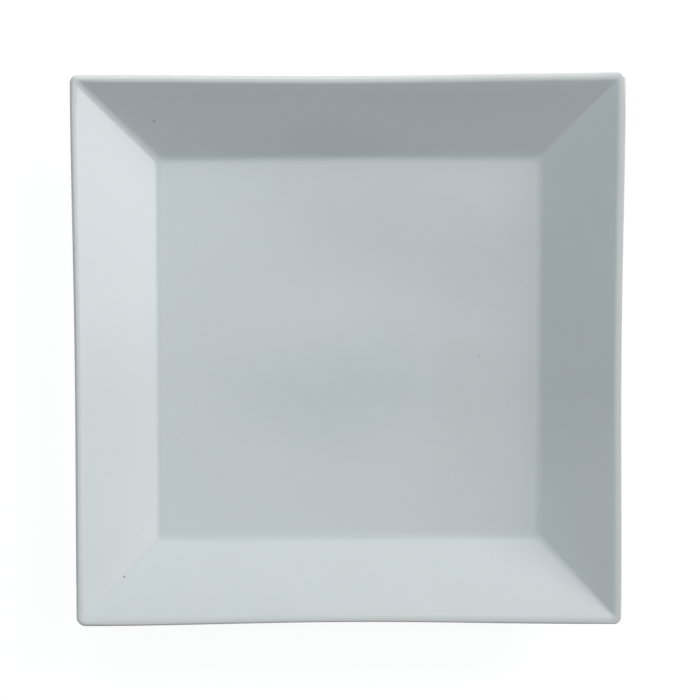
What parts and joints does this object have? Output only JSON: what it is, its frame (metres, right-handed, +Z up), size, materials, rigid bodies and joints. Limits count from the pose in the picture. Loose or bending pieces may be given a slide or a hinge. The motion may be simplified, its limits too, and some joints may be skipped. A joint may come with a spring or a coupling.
{
  "type": "square serving tray",
  "caption": "Square glazed porcelain serving tray with a flat well, wide sloping rims that meet in mitred corners, a rounded lip and a low bare foot ring, for carrying and serving food.",
  "frame": {"origin": "on the table plane under the middle of the tray", "axes": "+Z up out of the well, +X and +Y along the sides; +Y is the top of the picture"},
  "size_m": [0.305, 0.305, 0.03],
  "materials": {
    "bare_porcelain": "unglazed, fine matt",
    "white_glaze": "cool white glaze, soft gloss"
  },
  "bodies": {
    "root": {"porcelain_body": "bare_porcelain", "outer_glaze": "white_glaze", "base_glaze": "white_glaze"}
  },
  "joints": []
}
